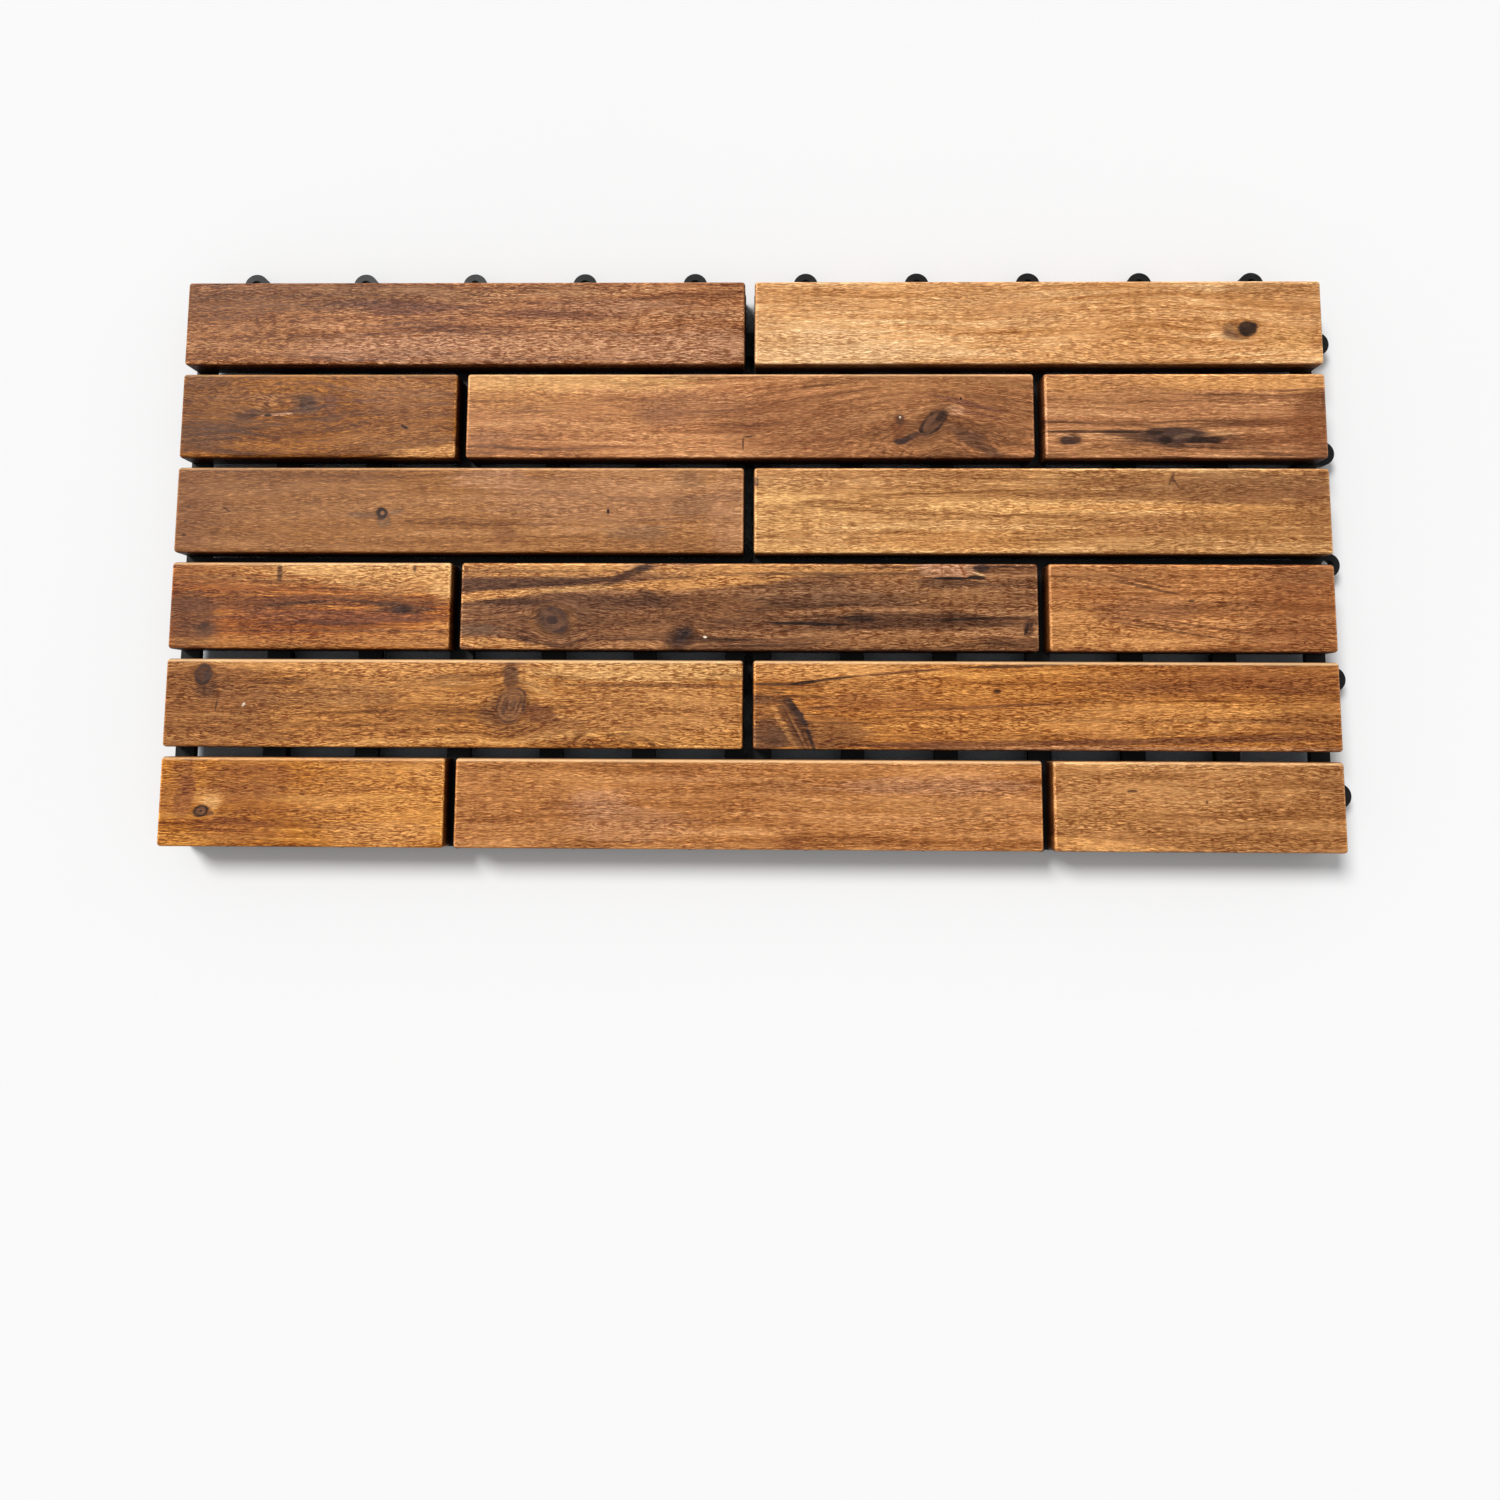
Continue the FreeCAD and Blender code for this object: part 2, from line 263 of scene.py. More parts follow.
        Patch("umber", 0.8, (18.4, 11.8), (3, 2.4), 20),
        Patch("dark_umber", 0.7, (18.8, 12), (1.3, 1.1)),
    ]),
    "slat_row3_middle": Slat((78, 50, 34), (142, 96, 63), (188, 136, 92), 1.15, [
        Patch("tan", 0.75, (218, 39), (22, 4)),
        Patch("walnut", 0.8, (248, 26), (15, 8)),
        Patch("walnut", 0.8, (130, 23), (28, 7)),
        Patch("golden", 0.75, (36, 41.6), (68, 4.6)),
        Patch("umber", 0.45, (30, 40.4), (44, 0.9)),
        Patch("cocoa", 0.85, (28, 34.5), (58, 2.8), 1),
        Patch("golden", 0.9, (14, 27.6), (30, 2.6), 5),
        Patch("straw", 0.55, (58, 31.4), (40, 1.7), 4),
        Patch("golden", 0.9, (122, 34.4), (46, 3.2), 3),
        Patch("golden", 0.6, (132, 40.5), (36, 3.6)),
        Patch("umber", 0.9, (58, 35), (32, 1.6), 4),
        Patch("umber", 0.95, (87, 39.4), (15, 2.4), 24),
        Patch("dark_umber", 0.8, (94, 42.4), (5, 2)),
        Patch("cocoa", 0.6, (68, 23), (46, 7)),
        Patch("umber", 0.85, (28, 24.6), (22, 1.8)),
        Patch("umber", 0.75, (97, 27.6), (7, 3), -25),
        Patch("walnut", 0.5, (88, 13), (32, 9)),
        Patch("walnut", 0.5, (28, 16), (22, 6)),
        Patch("grey_brown", 0.7, (9, 10.2), (13, 3)),
        Patch("golden", 0.85, (17, 3.6), (26, 3.2), -4),
        Patch("tan", 0.55, (88, 2.4), (30, 2.2)),
        Patch("ochre", 0.6, (47.6, 14.8), (13, 9)),
        Swirl(0.9, (48.6, 14.6), (9.8, 6.6), -20, 1),
        Knot("dark_umber", "cocoa", (48, 15), (7.2, 5.4), -20, 1),
        Patch("dark_umber", 0.9, (47.4, 15.2), (3.2, 2.8), -20),
        Swirl(0.5, (113.5, 6.6), (7, 6), 40, 1),
        Patch("umber", 0.85, (113, 6.2), (9.5, 6.6), 35),
        Patch("dark_umber", 0.9, (114, 7.2), (6, 3.6), 42),
        Patch("soot", 0.85, (114.6, 7.6), (3.4, 1.2), 48),
        Patch("speck", 1.0, (125.5, 6.8), (1.1, 0.7)),
        Patch("golden", 0.55, (172, 42), (50, 3.4)),
        Patch("umber", 0.6, (195, 39.4), (62, 0.9)),
        Patch("grey_brown", 0.4, (215, 29.5), (80, 7)),
        Patch("tan", 0.4, (218, 33), (22, 3.6)),
        Patch("tan", 0.5, (256, 28), (30, 5)),
        Patch("cocoa", 0.7, (250, 34.6), (18, 2.6)),
        Patch("pink_tan", 0.85, (249.4, 41.2), (14, 4.4)),
        Patch("soot", 1.0, (251.5, 37.2), (14.5, 0.9)),
        Patch("soot", 0.95, (264, 37.6), (5, 1.3), -6),
        Patch("dark_umber", 0.95, (266, 42.6), (4.6, 2.4)),
        Patch("cream", 0.9, (264.4, 39.6), (3.4, 0.6), -14),
        Patch("russet", 0.9, (256.6, 41), (0.9, 4), 22),
        Patch("russet", 0.6, (246, 40.6), (0.6, 3)),
        Patch("umber", 0.85, (228, 15.5), (70, 5.2)),
        Patch("soot", 0.95, (176, 13.8), (24, 0.9), -1.5),
        Patch("soot", 0.75, (204, 16.4), (10, 2), -4),
        Patch("soot", 0.85, (259, 16.4), (24, 0.8), 3),
        Patch("tan", 0.55, (226, 5), (46, 5)),
        Patch("umber", 0.85, (289.4, 11.8), (2.8, 5)),
        Patch("soot", 0.85, (288.4, 11), (0.9, 3.8), -18),
        Patch("soot", 0.7, (290.8, 13.4), (0.7, 2.2), -25),
    ]),
    "slat_row3_right": Slat((128, 76, 38), (184, 121, 70), (218, 155, 97), 0.95, [
        Patch("golden", 0.4, (10, 12), (19, 14)),
        Patch("tan", 0.6, (30, 39), (34, 7)),
        Patch("chestnut", 0.5, (128, 38), (27, 10)),
        Patch("chestnut", 0.4, (120, 9), (30, 10)),
        Patch("tan", 0.4, (96, 23), (17, 6)),
        Patch("golden", 0.4, (32, 6), (38, 8)),
        Patch("russet", 0.45, (128, 24), (30, 26)),
        Patch("mauve_tan", 0.35, (50, 21), (28, 8)),
        Patch("umber", 0.7, (51, 32.5), (22, 0.8), -13),
        Patch("chestnut", 0.8, (44, 36.5), (22, 0.7), -12),
        Patch("chestnut", 0.8, (93, 24.8), (12, 0.7), -3),
        Patch("umber", 0.6, (64, 10.3), (32, 0.7), -9),
        Patch("chestnut", 0.8, (52, 14), (24, 0.7), -10),
        Patch("chestnut", 0.7, (84, 12), (26, 0.7), -8),
        Patch("umber", 0.9, (72, 26), (1.9, 0.9), -5),
        Patch("russet", 0.7, (14, 1.2), (10, 1.2)),
        Patch("walnut", 0.5, (130, 39), (15, 4)),
    ]),
    "slat_row2_left": Slat((118, 70, 30), (190, 126, 63), (232, 170, 99), 1.1, [
        Patch("amber", 0.45, (128, 14), (22, 6)),
        Patch("cocoa", 0.55, (171, 18), (11, 8)),
        Patch("ochre", 0.4, (248, 8), (18, 6)),
        Patch("golden", 0.4, (282, 15), (12, 10)),
        Patch("chestnut", 0.55, (17, 20), (46, 34)),
        Patch("golden", 0.45, (112, 36), (42, 11)),
        Patch("chestnut", 0.5, (196, 10), (26, 7)),
        Patch("golden", 0.6, (115, 41.8), (118, 3.8)),
        Patch("walnut", 0.45, (84, 25), (40, 6)),
        Patch("amber", 0.4, (62, 6), (62, 9)),
        Patch("cocoa", 0.3, (146, 34), (16, 3)),
        Patch("walnut", 0.5, (25, 30), (12, 8)),
        Patch("umber", 0.7, (21.6, 30), (6, 5)),
        Knot("dark_umber", "umber", (19.6, 36.8), (4, 4.8), -10, 1),
        Patch("dark_umber", 0.8, (21.4, 36.4), (1.4, 3.4), -10),
        Patch("straw", 0.7, (27, 44), (7, 1)),
        Patch("umber", 0.9, (27, 21), (0.6, 3.2), -8),
        Patch("speck", 1.0, (41, 21.5), (0.7, 1.4), -30),
        Patch("umber", 0.9, (141, 9.3), (0.8, 0.8)),
        Patch("chestnut", 0.6, (63, 4), (4.5, 0.8)),
        Patch("tan", 0.4, (250, 20), (52, 14)),
        Patch("straw", 0.8, (246, 39.6), (60, 6.4)),
        Swirl(0.85, (233, 0), (26, 11), 0, 3),
        Patch("chestnut", 0.8, (191, 17.6), (12, 5), -14),
        Patch("straw", 0.35, (189.5, 31.5), (11, 2.6), -25),
        Patch("cocoa", 0.85, (177, 36.5), (4.5, 8)),
        Patch("russet", 0.7, (176, 43.2), (11, 1.6)),
        Knot("umber", "walnut", (177.4, 21.8), (8.8, 6.6), 62, 3),
        Patch("umber", 0.7, (174.6, 21), (1.3, 5), -18),
        Patch("cocoa", 0.7, (178.4, 22.4), (2.6, 1.8), 40),
        Patch("umber", 0.6, (183.6, 22), (1.3, 5.4), 14),
        Patch("chestnut", 0.7, (248, 32), (54, 1.1)),
    ]),
    "slat_row2_right": Slat((106, 58, 26), (195, 126, 61), (230, 163, 87), 1.05, [
        Patch("umber", 0.6, (20, 7), (11, 6)),
        Patch("russet", 0.45, (176, 8), (17, 4)),
        Patch("amber", 0.45, (188, 30), (20, 5)),
        Patch("russet", 0.45, (248, 39), (22, 5)),
        Patch("cocoa", 0.5, (34, 8), (28, 9)),
        Patch("cocoa", 0.4, (6, 22), (11, 9)),
        Patch("golden", 0.35, (56, 31), (34, 7)),
        Patch("golden", 0.45, (200, 16), (74, 9)),
        Patch("chestnut", 0.4, (284, 22), (30, 34)),
        Patch("ochre", 0.5, (280, 15), (16, 6)),
        Patch("amber", 0.4, (130, 13), (70, 9)),
        Patch("golden", 0.85, (32, 40.8), (64, 6.2)),
        Patch("russet", 0.5, (232, 35.5), (72, 9)),
        Patch("chestnut", 0.35, (212, 32), (27, 2.6)),
        Patch("russet", 0.5, (62, 24), (40, 5), 3),
        Patch("chestnut", 0.75, (120, 22), (50, 0.9), 3),
        Patch("cocoa", 0.6, (3.6, 25), (7, 2.8)),
        Patch("cocoa", 0.8, (7, 7), (11, 9)),
        Patch("umber", 0.6, (9, 4), (9, 2.2), -20),
        Patch("umber", 0.95, (10, 32.8), (13, 0.7)),
        Patch("soot", 0.95, (27, 33.9), (11, 0.9), 8),
        Patch("umber", 0.9, (42, 35.9), (13, 0.8), 7),
        Patch("chestnut", 0.9, (74, 39), (26, 0.8), 5),
        Patch("umber", 0.85, (127, 42.3), (24, 0.9), 2),
        Patch("golden", 0.4, (15.6, 12), (14, 1.8), -60),
        Patch("bister", 0.85, (21, 12.4), (19, 4.6), -62),
        Patch("umber", 0.9, (21.6, 18.6), (12, 2.6), -56),
        Patch("dark_umber", 0.9, (22.6, 18.6), (10, 1.7), -55),
        Patch("dark_umber", 0.9, (29.2, 5), (8.4, 1.2), -70),
        Patch("umber", 0.7, (20, 12), (14, 0.6), -63),
        Patch("tan", 0.45, (23, 9), (11, 0.8), -62),
        Patch("umber", 0.6, (25.6, 6), (9, 0.6), -64),
        Patch("chestnut", 0.8, (33, 21), (9, 0.8), 4),
        Patch("chestnut", 0.8, (39, 4.5), (9, 0.8), 20),
        Patch("umber", 0.95, (123, 29.6), (2.2, 1.2)),
        Patch("chestnut", 0.85, (112, 3.2), (82, 1.9), 1),
        Patch("chestnut", 0.9, (222, 5.6), (88, 2.0), 1.4),
        Patch("pink_tan", 0.4, (200, 1.2), (108, 1.5)),
    ]),
    "slat_row1_left": Slat((144, 80, 26), (202, 130, 51), (232, 165, 83), 1.0, [
        Patch("russet", 0.4, (7, 23), (9, 10)),
        Patch("russet", 0.4, (54, 23), (42, 8)),
        Patch("golden", 0.5, (116, 7), (30, 7)),
        Patch("golden", 0.4, (138, 39), (14, 8)),
        Patch("golden", 0.35, (112, 22), (42, 26)),
        Patch("russet", 0.6, (46, 33), (26, 12)),
        Patch("russet", 0.6, (13, 36), (7, 8)),
        Patch("russet", 0.65, (12.5, 22), (5.5, 9)),
        Patch("russet", 0.5, (42, 9), (26, 9)),
        Patch("golden", 0.5, (25, 25), (9, 5)),
        Patch("russet", 0.7, (15, 30), (4, 8), 12),
        Patch("straw", 0.6, (27, 22), (5, 4)),
        Patch("cocoa", 0.8, (26.5, 17), (2.6, 1.4)),
        Knot("soot", "cocoa", (21.9, 17.9), (3.4, 2.6), 0, 1),
        Patch("chestnut", 0.6, (73, 26.5), (2, 0.8)),
    ]),
    "slat_row1_middle": Slat((148, 90, 44), (193, 129, 73), (214, 152, 96), 0.85, [
        Patch("pink_tan", 0.4, (74, 23), (18, 7)),
        Patch("tan", 0.4, (164, 31), (14, 5)),
        Patch("ochre", 0.4, (260, 14), (20, 6)),
        Patch("pink_tan", 0.4, (240, 32), (60, 5)),
        Patch("ochre", 0.45, (230, 22), (68, 4.4)),
        Patch("ochre", 0.4, (56, 7), (14, 6)),
        Patch("russet", 0.3, (112, 36), (16, 5)),
        Patch("amber", 0.35, (50, 38), (55, 6)),
        Patch("pink_tan", 0.3, (88, 12), (34, 9)),
        Patch("russet", 0.4, (169, 4), (9, 5)),
        Patch("russet", 0.35, (170, 16), (5, 5)),
        Patch("chestnut", 0.8, (151, 25), (1.4, 1)),
    ]),
    "slat_row1_right": Slat((142, 91, 47), (188, 130, 77), (214, 159, 102), 0.95, [
        Patch("golden", 0.45, (22, 28), (33, 17)),
        Patch("walnut", 0.35, (141, 36), (14, 11)),
        Patch("ochre", 0.35, (122, 20), (40, 26)),
        Patch("golden", 0.85, (14, 5.2), (30, 2.0), -4),
        Patch("golden", 0.85, (24, 2.2), (42, 1.8), -1),
        Patch("tan", 0.35, (25, 30), (32, 12)),
        Patch("umber", 0.8, (39, 30.2), (3.2, 0.8)),
        Patch("umber", 0.7, (76, 25), (0.7, 1)),
    ]),
}


def linear(colour):
    """Colour with alpha in Blender's linear values, from sRGB out of 255."""
    shares = [value / 255 for value in colour]
    straight = [share / 12.92 if share < 0.04045 else ((share + 0.055) / 1.055) ** 2.4 for share in shares]
    return (*straight, 1.0)


class Formula:
    """Writes a material's nodes, one step at a time."""

    def __init__(self, name, seed=0.0):
        self.material = bpy.data.materials.new(name)
        self.material.use_nodes = True
        self.tree = self.material.node_tree
        self.shader = self.tree.nodes["Principled BSDF"]
        self.seed = seed

    def put(self, value, socket):
        if isinstance(value, bpy.types.NodeSocket):
            self.tree.links.new(value, socket)
        else:
            socket.default_value = value

    def node(self, kind, inputs, **settings):
        made = self.tree.nodes.new(kind)
        for setting, value in settings.items():
            setattr(made, setting, value)
        for key, value in inputs.items():
            self.put(value, made.inputs[key])
        return made

    def math(self, operation, *values):
        return self.node("ShaderNodeMath", dict(enumerate(values)), operation=operation).outputs[0]

    def vector(self, operation, *values):
        return self.node("ShaderNodeVectorMath", dict(enumerate(values)), operation=operation)

    def ramp(self, value, start, end, low=0.0, high=1.0):
        """Smooth step of a value from one level to another."""
        inputs = {"Value": value, "From Min": start, "From Max": end, "To Min": low, "To Max": high}
        return self.node("ShaderNodeMapRange", inputs, interpolation_type="SMOOTHSTEP").outputs[0]

    def mix(self, factor, first, second, blend="MIX"):
        inputs = {0: factor, 6: first, 7: second}
        return self.node("ShaderNodeMix", inputs, data_type="RGBA", blend_type=blend).outputs[2]

    def tint(self, colour, factors):
        return self.mix(1.0, colour, (*factors, 1.0), "MULTIPLY")

    def noise(self, point, size, number=0.0, detail=2.0):
        """Noise whose grains are the given size along X, Y and Z; its number tells it from the others."""
        scale = tuple(1 / length for length in size)
        start = (self.seed + number,) * 3
        placed = self.node("ShaderNodeMapping", {"Vector": point, "Location": start, "Scale": scale})
        inputs = {"Vector": placed.outputs[0], "Scale": 1.0, "Detail": detail}
        return self.node("ShaderNodeTexNoise", inputs).outputs[0]

    def sway(self, point, size, number, reach, detail=1.0):
        """Noise that goes as far below zero as above it."""
        return self.math("MULTIPLY_ADD", self.noise(point, size, number, detail), 2 * reach, -reach)

    def object_point(self, corner, unit):
        """Place on the object, counted from a corner, in a unit that is given in metres."""
        coordinates = self.tree.nodes.new("ShaderNodeTexCoord").outputs["Object"]
        inputs = {"Vector": coordinates, "Location": corner, "Scale": (unit, unit, unit)}
        return self.node("ShaderNodeMapping", inputs, vector_type="TEXTURE").outputs[0]

    def axis(self, point, letter):
        """One coordinate of a place."""
        return self.node("ShaderNodeSeparateXYZ", {0: point}).outputs[letter]

    def moved_across(self, point, shift):
        """Place moved along Y, which is across the grain."""
        move = self.node("ShaderNodeCombineXYZ", {"Y": shift}).outputs[0]
        return self.vector("ADD", point, move).outputs[0]

    def distance(self, point, figure):
        """Distance from a figure's middle, which is 1 on the ellipse of its reach."""
        inputs = {
            "Vector": point,
            "Location": (*figure.at, 0),
            "Rotation": (0, 0, math.radians(figure.turn)),
            "Scale": (*figure.reach, 1),
        }
        local = self.node("ShaderNodeMapping", inputs, vector_type="TEXTURE").outputs[0]
        return self.vector("LENGTH", local).outputs["Value"]

    def bump(self, height, depth, strength):
        inputs = {"Height": height, "Distance": depth, "Strength": strength}
        self.put(self.node("ShaderNodeBump", inputs).outputs[0], self.shader.inputs["Normal"])

    def finish(self, colour, roughness, specular):
        """Join colour and roughness to the shader, and set how much of it shines."""
        self.put(colour, self.shader.inputs["Base Color"])
        self.put(roughness, self.shader.inputs["Roughness"])
        self.shader.inputs["Specular IOR Level"].default_value = specular
        return self.material


def gap_sides(low, high):
    """Directions in which a slat faces a gap, and not the outside of the tile."""
    boxes = [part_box(name) for name in slats]
    sides = []
    for index in range(2):
        outward = Vector((0, 0, 0))
        outward[index] = 1
        if low[index] > min(box[0][index] for box in boxes) + millimetre:
            sides.append(-outward)
        if high[index] < max(box[1][index] for box in boxes) - millimetre:
            sides.append(outward)
    return sides


class Wood(Formula):
    """Oiled hardwood of one slat, in steps that each add to its colour. Lengths are in millimetres."""

    def __init__(self, name, slat, seed):
        super().__init__("wood_" + name, seed)
        self.name = name
        self.slat = slat
        self.low, self.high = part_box(name)
        self.point = self.object_point((self.low.x, self.low.y, self.high.z), millimetre)
        self.plan = self.vector("MULTIPLY", self.point, (1, 1, 0)).outputs[0]
        self.across = self.axis(self.plan, "Y")
        self.distances = {figure: self.distance(self.plan, figure) for figure in slat.figures}

    def bend_grain(self):
        """The grain flows in slow waves and bends round the knots and swirls."""
        wave = self.sway(self.point, size=(95, 22, 22), number=0, reach=3.5)
        ripple = self.sway(self.point, size=(22, 7, 7), number=3, reach=1.2)
        self.shift = self.math("ADD", wave, ripple)
        for figure in self.slat.figures:
            if isinstance(figure, Patch):
                continue
            square = self.math("POWER", self.distances[figure], 2.0)
            nearness = self.math("EXPONENT", self.math("MULTIPLY", square, -0.35))
            offset = self.math("SUBTRACT", self.across, figure.at[1])
            pull = self.math("MULTIPLY", self.math("MULTIPLY", offset, nearness), -0.7)
            self.shift = self.math("ADD", self.shift, pull)
        self.grain = self.moved_across(self.point, self.shift)

    def lay_bands(self):
        """Tones of the plain wood, in long bands and finer streaks."""
        bands = self.noise(self.grain, size=(170, 7, 7), number=5, detail=3.0)
        self.streaks = self.noise(self.grain, size=(55, 1.5, 1.5), number=7)
        tone = self.math("ADD", self.math("MULTIPLY", bands, 0.6), self.math("MULTIPLY", self.streaks, 0.4))
        colours = self.node("ShaderNodeValToRGB", {0: tone})
        first, last = colours.color_ramp.elements
        first.position = 0.375
        first.color = linear(self.slat.dark)
        last.position = 0.625
        last.color = linear(self.slat.light)
        colours.color_ramp.elements.new(0.5).color = linear(self.slat.middle)
        self.colour = colours.outputs[0]

    def blend(self, factor, tone):
        """Lay one of the tones over the colour so far."""
        self.colour = self.mix(factor, self.colour, linear(tone))

    def draw_figures(self):
        """The slat's own figures, with edges frayed along the grain and uneven rings."""
        fray = self.sway(self.grain, size=(20, 1.5, 1.5), number=11, reach=1.0, detail=3.0)
        coarse_wobble = self.sway(self.plan, size=(9, 6, 6), number=13, reach=2.3)
        fine_wobble = self.sway(self.plan, size=(2.6, 1.5, 1.5), number=15, reach=0.7)
        wobble = self.math("ADD", coarse_wobble, fine_wobble)
        uneven = self.ramp(self.noise(self.plan, size=(9, 6, 6), number=16), 0.36, 0.62, 0.15, 0.9)
        self.open_grain = 1.0
        for figure in self.slat.figures:
            if isinstance(figure, Patch):
                self.draw_patch(figure, fray)
                continue
            even = self.distances[figure]
            distance = self.math("MULTIPLY_ADD", wobble, 1 / math.hypot(*figure.reach), even)
            turns = self.math("COSINE", self.math("MULTIPLY", distance, 2 * math.pi * figure.rings))
            if isinstance(figure, Swirl):
                self.draw_swirl(figure, distance, turns, uneven)
            else:
                self.draw_knot(figure, distance, turns, uneven)

    def draw_patch(self, figure, fray):
        """One tone, which fades out round its edge; only broad bands fray much."""
        slim = max(figure.reach) > 2.4 * min(figure.reach)
        frayed = 0.9 if slim and min(figure.reach) > 2 else 0.35
        edge = self.math("MULTIPLY_ADD", fray, frayed, self.distances[figure])
        self.blend(self.ramp(edge, 1.2, 0.6, 0.0, figure.strength), tones[figure.tone])

    def draw_swirl(self, figure, distance, turns, uneven):
        """Dark rings in the grain."""
        ring = self.math("MULTIPLY", self.ramp(turns, -0.2, 0.9), uneven)
        fade = self.ramp(distance, 1.2, 0.8, 0.0, figure.strength)
        self.blend(self.math("MULTIPLY", ring, fade), self.slat.dark)

    def draw_knot(self, figure, distance, turns, uneven):
        """A dark halo, the heart and rings of bark; the wood there is dense, with fewer pores."""
        self.open_grain = self.math("MULTIPLY", self.open_grain, self.ramp(distance, 0.85, 1.25, 0.55, 1.0))
        self.blend(self.ramp(distance, 2.0, 0.95, 0.0, 0.6), self.slat.dark)
        self.blend(self.ramp(distance, 1.25, 0.85, 0.0, 0.92), tones[figure.heart])
        ring = self.math("MULTIPLY", self.ramp(turns, -0.3, 0.9), self.ramp(distance, 1.35, 1.05))
        self.blend(self.math("MULTIPLY", ring, uneven), tones[figure.bark])

    def scatter_pores(self):
        """Short dark pores along the grain, in denser and thinner places, and pale fibres between them."""
        waver = self.sway(self.point, size=(15, 6, 6), number=23, reach=1.5)
        wavy = self.moved_across(self.point, self.math("MULTIPLY_ADD", self.shift, 0.6, waver))
        density = self.noise(self.grain, size=(40, 9, 9), number=17, detail=1.0)
        crowd = self.ramp(density, 0.3, 0.6, 0.55, 1.0)
        long_pores = self.ramp(self.noise(wavy, size=(6, 0.48, 0.48), number=19, detail=1.0), 0.54, 0.4)
        short_pores = self.ramp(self.noise(wavy, size=(2.4, 0.42, 0.42), number=29, detail=1.0), 0.5, 0.37)
        share = self.math("MULTIPLY", crowd, self.open_grain)
        self.pores = self.math("MULTIPLY", self.math("MAXIMUM", long_pores, short_pores), share)
        fibre_lines = self.noise(wavy, size=(5, 0.45, 0.45), number=31, detail=1.0)
        fibres = self.math("MULTIPLY", self.ramp(fibre_lines, 0.5, 0.66, 0.0, 0.9), self.open_grain)
        hairs = self.ramp(self.noise(wavy, size=(9, 0.2, 0.2), number=37, detail=1.0), 0.35, 0.65)
        strength = self.math("MULTIPLY", self.pores, self.slat.pores)
        self.shade(strength, (0.34, 0.22, 0.14))
        self.shade(fibres, (1.6, 1.66, 1.74))
        between = self.tint(self.colour, (0.94, 0.92, 0.89))
        self.colour = self.mix(hairs, between, self.tint(self.colour, (1.25, 1.28, 1.3)))

    def shade(self, factor, factors):
        """Multiply the colour so far by three factors, where the first value says."""
        self.colour = self.mix(factor, self.colour, self.tint(self.colour, factors))

    def paint_edge_wear_and_light(self):
        """The rounded edges are worn pale, with painted highlight that is strongest on the back edges, which
        face the key light; the sides and ends get painted shade.
        """
        self.facing = self.tree.nodes.new("ShaderNodeNewGeometry").outputs["Normal"]
        upward = self.vector("DOT_PRODUCT", self.facing, (0, 0, 1)).outputs["Value"]
        backward = self.vector("DOT_PRODUCT", self.facing, (0, 1, 0)).outputs["Value"]
        # Pale edges: wear, with painted highlight that grows on the edges that face back towards the key
        # light
        edge = self.math("MULTIPLY", self.ramp(upward, 0.998, 0.96), self.ramp(upward, 0.45, 0.7))
        in_back_row = "row6" in self.name
        back_wear_and_highlight = 0.3 if in_back_row else 0.9
        wear_and_highlight = self.math("MULTIPLY", edge, self.ramp(backward, -0.3, 0.1, 0.3, back_wear_and_highlight))
        self.shade(wear_and_highlight, (1.7, 1.85, 2.1))
        # Painted highlight: a cream line along the slat's back edge, where the key light catches it
        width = (self.high.y - self.low.y) / millimetre
        cream_highlight = self.ramp(self.across, width - 2.2, width - 0.9, 0.0, back_edge_highlights.get(self.name, 0.0))
        self.blend(cream_highlight, tones["cream"])
        # Painted shade: the sides and ends, which face away from the light, are darker
        self.shade(self.ramp(self.math("ABSOLUTE", upward), 0.6, 0.2), (0.7, 0.6, 0.52))

    def paint_gap_shade(self):
        """Painted shade darkens the sides that face a gap, the more the deeper they lie."""
        depth = self.ramp(self.axis(self.point, "Z"), -1.5, -7.0)
        shallow = self.tint(self.colour, (0.5, 0.42, 0.36))
        deep = self.tint(self.colour, (0.08, 0.06, 0.05))
        # Painted shade in the gaps, darker towards the bottom
        gap_shade = self.mix(depth, shallow, deep)
        for direction in gap_sides(self.low, self.high):
            toward = self.vector("DOT_PRODUCT", self.facing, direction).outputs["Value"]
            self.colour = self.mix(self.ramp(toward, 0.6, 0.9), self.colour, gap_shade)


def wood(name, slat, seed):
    """Oiled hardwood for one slat, with flowing grain, its own figures and knots, and fine dark pores."""
    surface = Wood(name, slat, seed)
    surface.bend_grain()
    surface.lay_bands()
    surface.draw_figures()
    surface.scatter_pores()
    surface.paint_edge_wear_and_light()
    surface.paint_gap_shade()
    relief = surface.math("SUBTRACT", surface.math("MULTIPLY", surface.streaks, 0.5), surface.pores)
    surface.bump(relief, depth=0.00006, strength=0.5)
    roughness = surface.ramp(surface.streaks, 0.3, 0.7, 0.42, 0.56)
    return surface.finish(surface.colour, roughness, specular=0.12)


def plastic():
    """Black moulded plastic with a fine grain, faint flow marks and dust."""
    formula = Formula("base_plastic")
    point = formula.object_point((0, 0, 0), millimetre)
    grain = formula.noise(point, size=(0.35, 0.35, 0.35), number=1)
    flow = formula.noise(point, size=(60, 14, 14), number=2, detail=3.0)
    dust = formula.ramp(formula.noise(point, size=(9, 9, 9), number=4, detail=4.0), 0.45, 0.75)
    colour = formula.mix(flow, linear((15, 15, 17)), linear((24, 25, 27)))
    colour = formula.mix(formula.math("MULTIPLY", dust, 0.12), colour, linear((70, 69, 66)))
    formula.bump(grain, depth=0.00008, strength=0.5)
    roughness = formula.ramp(flow, 0.3, 0.7, 0.4, 0.58)
    return formula.finish(colour, roughness, specular=0.22)


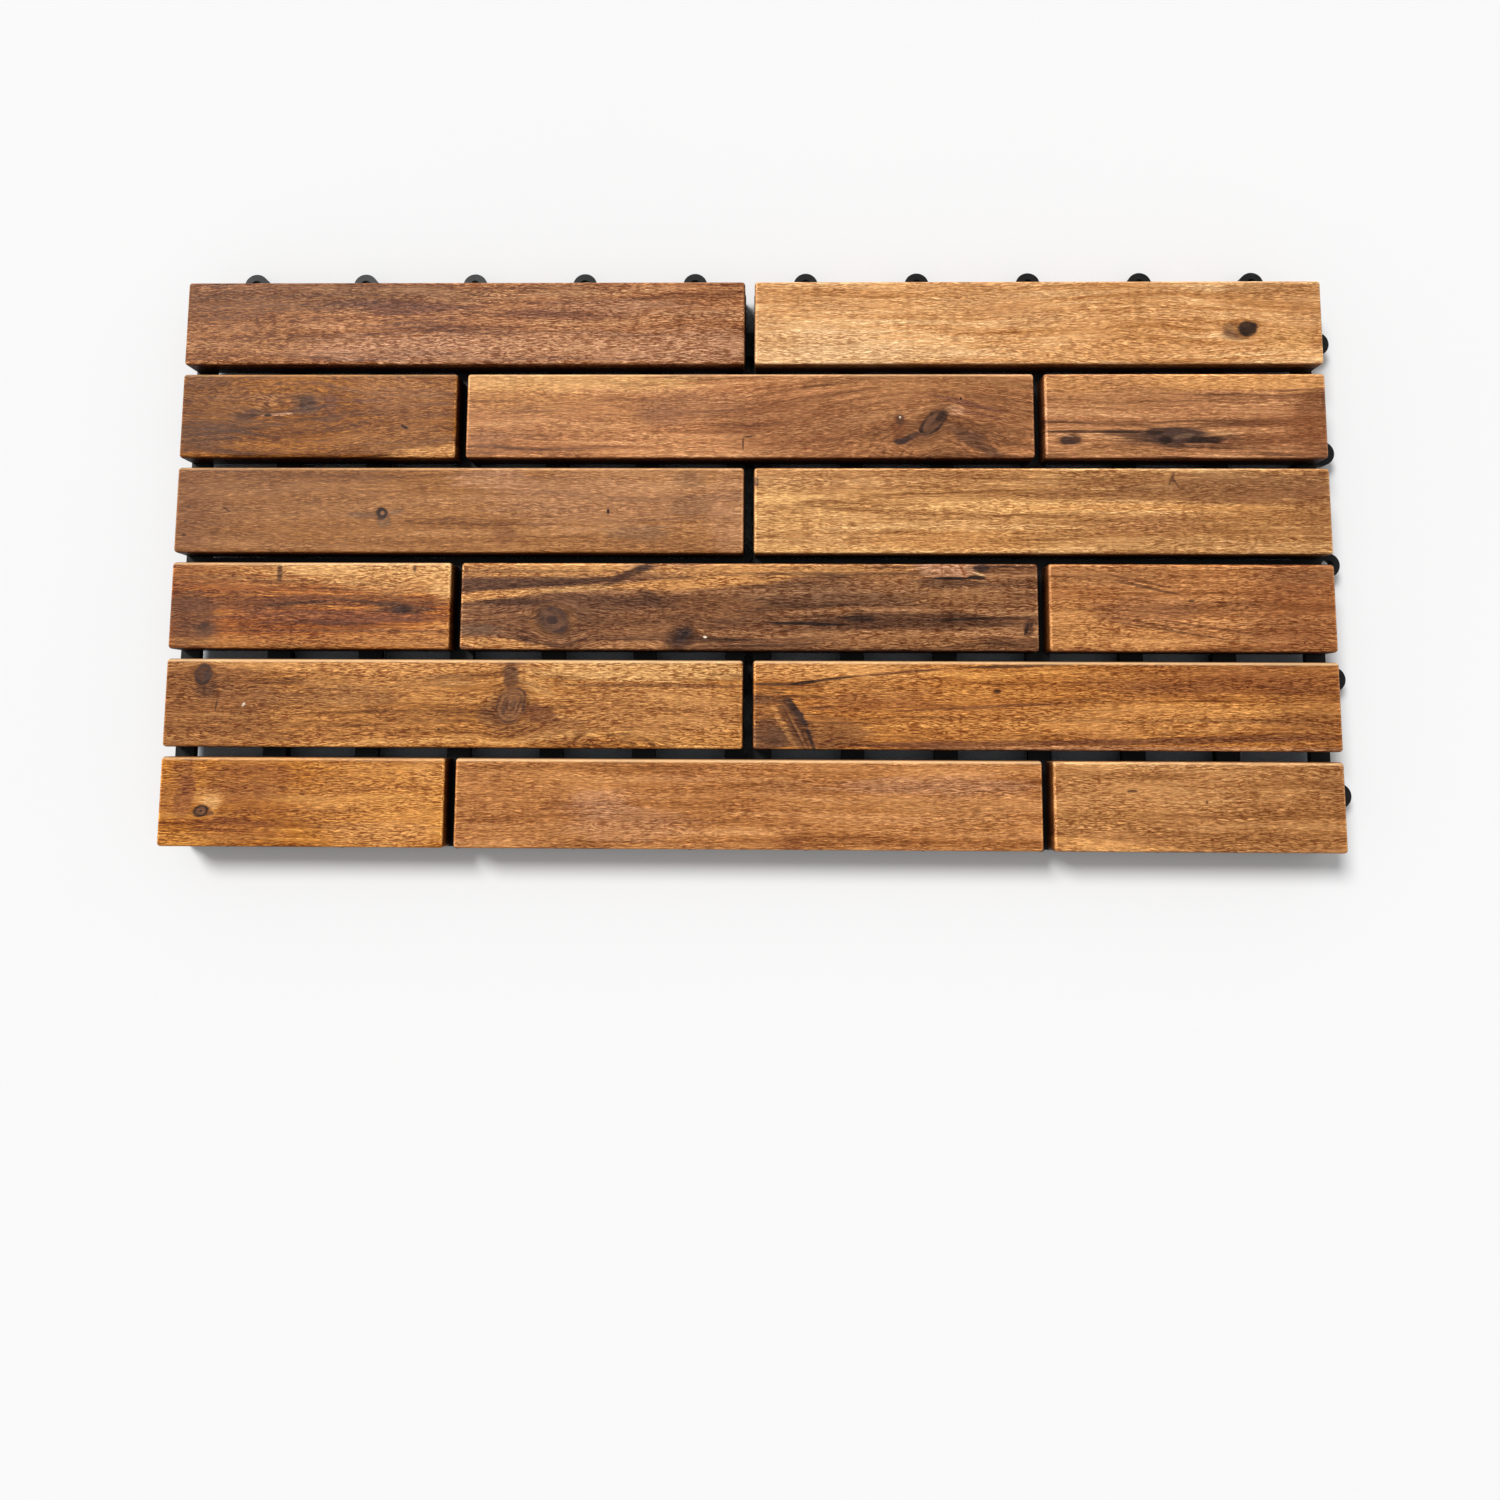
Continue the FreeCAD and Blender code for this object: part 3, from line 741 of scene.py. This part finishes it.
def steel():
    """Zinc-plated steel of the screws, slightly dull in places."""
    formula = Formula("screw_steel")
    point = formula.object_point((0, 0, 0), millimetre)
    dull = formula.noise(point, size=(1.6, 1.6, 1.6), number=1, detail=3.0)
    marks = formula.noise(point, size=(0.9, 0.9, 0.12), number=5)
    colour = formula.mix(dull, linear((176, 172, 160)), linear((214, 212, 206)))
    formula.shader.inputs["Metallic"].default_value = 1.0
    formula.bump(marks, depth=0.00004, strength=0.4)
    roughness = formula.ramp(dull, 0.3, 0.7, 0.22, 0.45)
    return formula.finish(colour, roughness, specular=0.5)


def dress(node, material):
    """Give a CAD node's surface a material in every slot."""
    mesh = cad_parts[node].data
    for index in range(len(mesh.materials)):
        mesh.materials[index] = material


def floor_colours():
    """Plain pale floor, with painted shade in slate grey where the tile keeps the light off it, and darker
    painted shade below the bases' seam.
    """
    formula = Formula("floor_pale")
    point = formula.object_point((0, 0, 0), 1.0)
    clouds = formula.noise(point, size=(0.6, 0.6, 0.6))
    pale = formula.mix(clouds, (0.93, 0.93, 0.93, 1), (0.95, 0.95, 0.95, 1))
    # Painted shade: slate where little of the sky reaches the floor, and darker in a strip below the bases'
    # seam
    open_sky = formula.node("ShaderNodeAmbientOcclusion", {"Distance": 0.05}, samples=8).outputs["AO"]
    seam = (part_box("slat_row6_left")[1].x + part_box("slat_row6_right")[0].x) / 2
    beside = formula.math("ABSOLUTE", formula.math("SUBTRACT", formula.axis(point, "X"), seam))
    painted_shade = formula.mix(formula.ramp(beside, 0.012, 0.006), linear((162, 171, 180)), linear((52, 54, 56)))
    colour = formula.mix(formula.ramp(open_sky, 0.15, 0.4), painted_shade, pale)
    return formula.finish(colour, roughness=0.9, specular=0.1)


def make_floor():
    """Floor that reaches far wider than the tile."""
    mesh = bpy.data.meshes.new("floor")
    half = 6.0
    corners = [(-half, -half, 0), (half, -half, 0), (half, half, 0), (-half, half, 0)]
    mesh.from_pydata(corners, [], [(0, 1, 2, 3)])
    mesh.materials.append(floor_colours())
    floor = bpy.data.objects.new("floor", mesh)
    bpy.context.scene.collection.objects.link(floor)


def make_light():
    """Soft light from all round, and a wide soft key from behind, from the left and above."""
    world = bpy.data.worlds.new("studio")
    world.use_nodes = True
    background = world.node_tree.nodes["Background"]
    background.inputs["Color"].default_value = (1, 1, 1, 1)
    background.inputs["Strength"].default_value = 0.4
    bpy.context.scene.world = world
    lamp = bpy.data.lights.new("key", "SUN")
    lamp.energy = 2.55
    lamp.angle = math.radians(20)
    key = bpy.data.objects.new("key", lamp)
    key.rotation_euler = Vector((-0.6, 0.62, 1.0)).to_track_quat("Z", "Y").to_euler()
    bpy.context.scene.collection.objects.link(key)


def make_camera():
    """Camera at the photograph's viewpoint, above the front half of the tile and looking down on it."""
    lens = bpy.data.cameras.new("camera")
    lens.sensor_width = 36.0
    lens.lens = 21.642
    lens.shift_y = -0.05667
    lens.clip_start = 0.01
    camera = bpy.data.objects.new("camera", lens)
    camera.location = (0.00169, -0.09834, 0.47918)
    tilt, lean, heading = 4.798, 0.73, 0.27
    camera.rotation_euler = [math.radians(angle) for angle in (tilt, lean, heading)]
    bpy.context.scene.collection.objects.link(camera)
    bpy.context.scene.camera = camera


bpy.context.scene.view_settings.view_transform = "Standard"
make_camera()
make_floor()
make_light()
for number, (node, slat) in enumerate(slats.items()):
    dress(node, wood(node, slat, seed=17.0 * number))
black = plastic()
dress("base_left", black)
dress("base_right", black)
dress("screws", steel())
